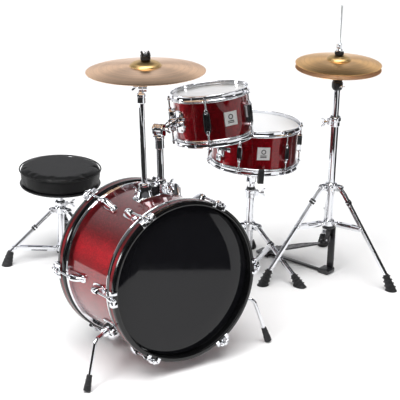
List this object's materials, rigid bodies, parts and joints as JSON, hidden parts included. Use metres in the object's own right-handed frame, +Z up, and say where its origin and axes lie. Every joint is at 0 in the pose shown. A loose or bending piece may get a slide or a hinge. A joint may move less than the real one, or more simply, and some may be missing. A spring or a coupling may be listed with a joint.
{
  "type": "acoustic drum kit",
  "caption": "Small acoustic drum kit: bass drum with hung tom and crash post, snare on a stand, pedal hi-hat and a round throne.",
  "frame": {"origin": "on the floor, under the middle of the kit's bounding box", "axes": "+Z up, the front of the bass drum faces -Y, the player sits at +Y, the hi-hat is at +X"},
  "size_m": [1.1687, 1.0303, 0.845],
  "materials": {
    "wrap": "glossy wine-red sparkle wrap on a plywood shell",
    "hoop_lacquer": "gloss black lacquered hoop with a wine-red inlay",
    "head_film": "glossy black drum-head film with a metal flesh ring",
    "head_coated": "coated white drum-head film with a metal flesh ring",
    "chrome": "bright chrome plate; feet, grips and tips are black rubber",
    "cymbal": "lathed golden brass",
    "black_metal": "black powder coat",
    "vinyl": "black grained vinyl over foam"
  },
  "bodies": {
    "kit": {"bass_shell": "wrap", "bass_heads": "head_film", "bass_hoops": "hoop_lacquer", "bass_lugs": "chrome", "bass_claws": "chrome", "spur_brackets": "chrome", "bass_mount": "chrome", "snare_stand_tube": "chrome", "hihat_base": "chrome", "throne_base": "chrome"},
    "spur_left": {"spur_left": "chrome"},
    "spur_right": {"spur_right": "chrome"},
    "crash_post": {"crash_post": "chrome"},
    "crash_tilter": {"crash_tilter": "chrome"},
    "crash_cymbal": {"crash_cymbal": "cymbal"},
    "tom_post": {"tom_post": "chrome"},
    "tom_arm": {"tom_arm": "chrome"},
    "tom": {"tom_shell": "wrap", "tom_heads": "head_coated", "tom_hoops": "chrome", "tom_lugs": "chrome", "tom_bracket": "chrome"},
    "snare_upper": {"snare_upper": "chrome"},
    "snare": {"snare_basket": "chrome", "snare_shell": "wrap", "snare_heads": "head_coated", "snare_hoops": "chrome", "snare_lugs": "chrome", "snare_wires": "chrome"},
    "strainer_lever": {"strainer_lever": "chrome"},
    "snare_stand_hub": {"snare_stand_hub": "chrome"},
    "snare_stand_leg_1": {"snare_stand_leg_1": "chrome"},
    "snare_stand_brace_1": {"snare_stand_brace_1": "chrome"},
    "snare_stand_leg_2": {"snare_stand_leg_2": "chrome"},
    "snare_stand_brace_2": {"snare_stand_brace_2": "chrome"},
    "snare_stand_leg_3": {"snare_stand_leg_3": "chrome"},
    "snare_stand_brace_3": {"snare_stand_brace_3": "chrome"},
    "hihat_upper": {"hihat_upper": "chrome"},
    "hihat_cymbal_bottom": {"hihat_cymbal_bottom": "cymbal"},
    "hihat_footboard": {"hihat_footboard": "black_metal"},
    "hihat_rod": {"hihat_rod": "black_metal", "hihat_clutch": "chrome"},
    "hihat_cymbal_top": {"hihat_cymbal_top": "cymbal"},
    "hihat_hub": {"hihat_hub": "chrome"},
    "hihat_leg_1": {"hihat_leg_1": "chrome"},
    "hihat_brace_1": {"hihat_brace_1": "chrome"},
    "hihat_leg_2": {"hihat_leg_2": "chrome"},
    "hihat_brace_2": {"hihat_brace_2": "chrome"},
    "hihat_leg_3": {"hihat_leg_3": "chrome"},
    "hihat_brace_3": {"hihat_brace_3": "chrome"},
    "throne_collar": {"throne_collar": "chrome"},
    "throne_leg_1": {"throne_leg_1": "chrome"},
    "throne_brace_1": {"throne_brace_1": "chrome"},
    "throne_leg_2": {"throne_leg_2": "chrome"},
    "throne_brace_2": {"throne_brace_2": "chrome"},
    "throne_leg_3": {"throne_leg_3": "chrome"},
    "throne_brace_3": {"throne_brace_3": "chrome"},
    "throne_post": {"throne_post": "chrome"},
    "throne_seat": {"throne_seat": "vinyl"}
  },
  "joints": [
    {"name": "spur_left_fold", "type": "hinge", "parent": "kit", "child": "spur_left", "pos_m": [-0.46346, -0.39079, 0.12077], "axis": [-0.8022, -0.5878, 0.1046], "range_deg": [-90, 20]},
    {"name": "spur_right_fold", "type": "hinge", "parent": "kit", "child": "spur_right", "pos_m": [-0.10697, -0.39079, 0.12077], "axis": [0.8022, -0.5878, 0.1046], "range_deg": [-20, 90]},
    {"name": "crash_height", "type": "slide", "parent": "kit", "child": "crash_post", "axis": [0, 0.097, 0.9953], "range_m": [-0.03, 0.08]},
    {"name": "crash_tilt", "type": "hinge", "parent": "crash_post", "child": "crash_tilter", "pos_m": [-0.31072, -0.28205, 0.73334], "axis": [0.8299, -0.5579, 0], "range_deg": [-25, 35]},
    {"name": "crash_spin", "type": "hinge", "parent": "crash_tilter", "child": "crash_cymbal", "pos_m": [-0.29992, -0.28814, 0.7756], "axis": [-0.01, 0.0499, 0.9987], "continuous": true},
    {"name": "tom_height", "type": "slide", "parent": "kit", "child": "tom_post", "axis": [0, 0.097, 0.9953], "range_m": [-0.08, 0.08]},
    {"name": "tom_arm_swing", "type": "hinge", "parent": "tom_post", "child": "tom_arm", "pos_m": [-0.25972, -0.29369, 0.6139], "axis": [-0.5912, 0.8027, -0.0782], "range_deg": [-20, 15]},
    {"name": "tom_tilt", "type": "hinge", "parent": "tom_arm", "child": "tom", "pos_m": [-0.17773, -0.23465, 0.60022], "axis": [0.8041, 0.5791, -0.1343], "range_deg": [-20, 20]},
    {"name": "snare_height", "type": "slide", "parent": "kit", "child": "snare_upper", "axis": [0, 0, 1], "range_m": [0, 0.08]},
    {"name": "snare_tilt", "type": "hinge", "parent": "snare_upper", "child": "snare", "pos_m": [0.23578, -0.03414, 0.312], "axis": [0, 1, 0], "range_deg": [-15, 15]},
    {"name": "strainer_throw", "type": "hinge", "parent": "snare", "child": "strainer_lever", "pos_m": [0.1016, -0.04403, 0.43109], "axis": [0.0599, 0.0299, 0.9978], "range_deg": [-100, 0]},
    {"name": "snare_stand_hub_slide", "type": "slide", "parent": "kit", "child": "snare_stand_hub", "axis": [0, 0, 1], "range_m": [0, 0.03914]},
    {"name": "snare_stand_leg_1_fold", "type": "hinge", "parent": "snare_stand_hub", "child": "snare_stand_leg_1", "pos_m": [0.2472, -0.06296, 0.1525], "axis": [0.9298, 0.3681, 0], "range_deg": [0, 43.02]},
    {"name": "snare_stand_brace_1_fold", "type": "hinge", "parent": "kit", "child": "snare_stand_brace_1", "pos_m": [0.24683, -0.06203, 0.0415], "axis": [0.9298, 0.3681, 0], "range_deg": [-32.98, 0]},
    {"name": "snare_stand_leg_2_fold", "type": "hinge", "parent": "snare_stand_hub", "child": "snare_stand_leg_2", "pos_m": [0.25504, -0.00984, 0.1525], "axis": [-0.7837, 0.6211, 0], "range_deg": [0, 43.02]},
    {"name": "snare_stand_brace_2_fold", "type": "hinge", "parent": "kit", "child": "snare_stand_brace_2", "pos_m": [0.25442, -0.01063, 0.0415], "axis": [-0.7837, 0.6211, 0], "range_deg": [-32.98, 0]},
    {"name": "snare_stand_leg_3_fold", "type": "hinge", "parent": "snare_stand_hub", "child": "snare_stand_leg_3", "pos_m": [0.20512, -0.02961, 0.1525], "axis": [-0.1461, -0.9893, 0], "range_deg": [0, 43.02]},
    {"name": "snare_stand_brace_3_fold", "type": "hinge", "parent": "kit", "child": "snare_stand_brace_3", "pos_m": [0.20611, -0.02976, 0.0415], "axis": [-0.1461, -0.9893, 0], "range_deg": [-32.98, 0]},
    {"name": "hihat_height", "type": "slide", "parent": "kit", "child": "hihat_upper", "axis": [0, 0, 1], "range_m": [-0.08, 0]},
    {"name": "hihat_bottom_spin", "type": "hinge", "parent": "hihat_upper", "child": "hihat_cymbal_bottom", "pos_m": [0.43678, -0.16864, 0.656], "axis": [0, 0, 1], "continuous": true},
    {"name": "hihat_pedal", "type": "hinge", "parent": "kit", "child": "hihat_footboard", "pos_m": [0.37454, 0.02878, 0.017], "axis": [0.9537, 0.3007, 0], "range_deg": [0, 3.44]},
    {"name": "hihat_pull", "type": "slide", "parent": "kit", "child": "hihat_rod", "axis": [0, 0, 1], "range_m": [-0.0118, 0], "stiffness_N_per_m": 300, "springref_m": 0.07},
    {"name": "hihat_top_spin", "type": "hinge", "parent": "hihat_rod", "child": "hihat_cymbal_top", "pos_m": [0.43678, -0.16864, 0.67], "axis": [0, 0, 1], "continuous": true},
    {"name": "hihat_hub_slide", "type": "slide", "parent": "kit", "child": "hihat_hub", "axis": [0, 0, 1], "range_m": [0, 0.04504]},
    {"name": "hihat_leg_1_fold", "type": "hinge", "parent": "hihat_hub", "child": "hihat_leg_1", "pos_m": [0.45487, -0.14347, 0.286], "axis": [-0.8121, 0.5835, 0], "range_deg": [0, 4.9]},
    {"name": "hihat_brace_1_fold", "type": "hinge", "parent": "kit", "child": "hihat_brace_1", "pos_m": [0.45254, -0.14671, 0.1695], "axis": [-0.8121, 0.5835, 0], "range_deg": [-27.31, 0]},
    {"name": "hihat_leg_2_fold", "type": "hinge", "parent": "hihat_hub", "child": "hihat_leg_2", "pos_m": [0.40594, -0.16556, 0.286], "axis": [-0.0993, -0.9951, 0], "range_deg": [0, 4.9]},
    {"name": "hihat_brace_2_fold", "type": "hinge", "parent": "kit", "child": "hihat_brace_2", "pos_m": [0.40992, -0.16596, 0.1695], "axis": [-0.0993, -0.9951, 0], "range_deg": [-27.31, 0]},
    {"name": "hihat_leg_3_fold", "type": "hinge", "parent": "hihat_hub", "child": "hihat_leg_3", "pos_m": [0.44954, -0.19689, 0.286], "axis": [0.9114, 0.4115, 0], "range_deg": [0, 4.9]},
    {"name": "hihat_brace_3_fold", "type": "hinge", "parent": "kit", "child": "hihat_brace_3", "pos_m": [0.44789, -0.19325, 0.1695], "axis": [0.9114, 0.4115, 0], "range_deg": [-27.31, 0]},
    {"name": "throne_collar_slide", "type": "slide", "parent": "kit", "child": "throne_collar", "axis": [0, 0, 1], "range_m": [0, 0.09803]},
    {"name": "throne_leg_1_fold", "type": "hinge", "parent": "kit", "child": "throne_leg_1", "pos_m": [-0.19229, 0.37691, 0.157], "axis": [-0.8121, 0.5835, 0], "range_deg": [0, 42.49]},
    {"name": "throne_brace_1_fold", "type": "hinge", "parent": "throne_collar", "child": "throne_brace_1", "pos_m": [-0.19579, 0.37204, 0.029], "axis": [-0.8121, 0.5835, 0], "range_deg": [0, 88.62]},
    {"name": "throne_leg_2_fold", "type": "hinge", "parent": "kit", "child": "throne_leg_2", "pos_m": [-0.23807, 0.35624, 0.157], "axis": [-0.0993, -0.9951, 0], "range_deg": [0, 42.49]},
    {"name": "throne_brace_2_fold", "type": "hinge", "parent": "throne_collar", "child": "throne_brace_2", "pos_m": [-0.2321, 0.35564, 0.029], "axis": [-0.0993, -0.9951, 0], "range_deg": [0, 88.62]},
    {"name": "throne_leg_3_fold", "type": "hinge", "parent": "kit", "child": "throne_leg_3", "pos_m": [-0.19728, 0.32693, 0.157], "axis": [0.9114, 0.4115, 0], "range_deg": [0, 42.49]},
    {"name": "throne_brace_3_fold", "type": "hinge", "parent": "throne_collar", "child": "throne_brace_3", "pos_m": [-0.19975, 0.3324, 0.029], "axis": [0.9114, 0.4115, 0], "range_deg": [0, 88.62]},
    {"name": "throne_height", "type": "slide", "parent": "kit", "child": "throne_post", "axis": [0, 0, 1], "range_m": [-0.03, 0.08]},
    {"name": "throne_spin", "type": "hinge", "parent": "throne_post", "child": "throne_seat", "pos_m": [-0.20922, 0.35336, 0.3], "axis": [0, 0, 1], "continuous": true}
  ],
  "couplings": [
    {"joint": "snare_stand_leg_1_fold", "follows": "snare_stand_hub_slide", "rad_per_m": 19.18},
    {"joint": "snare_stand_brace_1_fold", "follows": "snare_stand_hub_slide", "rad_per_m": -14.704},
    {"joint": "snare_stand_leg_2_fold", "follows": "snare_stand_hub_slide", "rad_per_m": 19.18},
    {"joint": "snare_stand_brace_2_fold", "follows": "snare_stand_hub_slide", "rad_per_m": -14.704},
    {"joint": "snare_stand_leg_3_fold", "follows": "snare_stand_hub_slide", "rad_per_m": 19.18},
    {"joint": "snare_stand_brace_3_fold", "follows": "snare_stand_hub_slide", "rad_per_m": -14.704},
    {"joint": "hihat_pull", "follows": "hihat_pedal", "m_per_rad": -0.195},
    {"joint": "hihat_leg_1_fold", "follows": "hihat_hub_slide", "rad_per_m": 1.8957},
    {"joint": "hihat_brace_1_fold", "follows": "hihat_hub_slide", "rad_per_m": -10.579},
    {"joint": "hihat_leg_2_fold", "follows": "hihat_hub_slide", "rad_per_m": 1.8957},
    {"joint": "hihat_brace_2_fold", "follows": "hihat_hub_slide", "rad_per_m": -10.579},
    {"joint": "hihat_leg_3_fold", "follows": "hihat_hub_slide", "rad_per_m": 1.8957},
    {"joint": "hihat_brace_3_fold", "follows": "hihat_hub_slide", "rad_per_m": -10.579},
    {"joint": "throne_leg_1_fold", "follows": "throne_collar_slide", "rad_per_m": 7.5633},
    {"joint": "throne_brace_1_fold", "follows": "throne_collar_slide", "rad_per_m": 15.776},
    {"joint": "throne_leg_2_fold", "follows": "throne_collar_slide", "rad_per_m": 7.5633},
    {"joint": "throne_brace_2_fold", "follows": "throne_collar_slide", "rad_per_m": 15.776},
    {"joint": "throne_leg_3_fold", "follows": "throne_collar_slide", "rad_per_m": 7.5633},
    {"joint": "throne_brace_3_fold", "follows": "throne_collar_slide", "rad_per_m": 15.776}
  ]
}
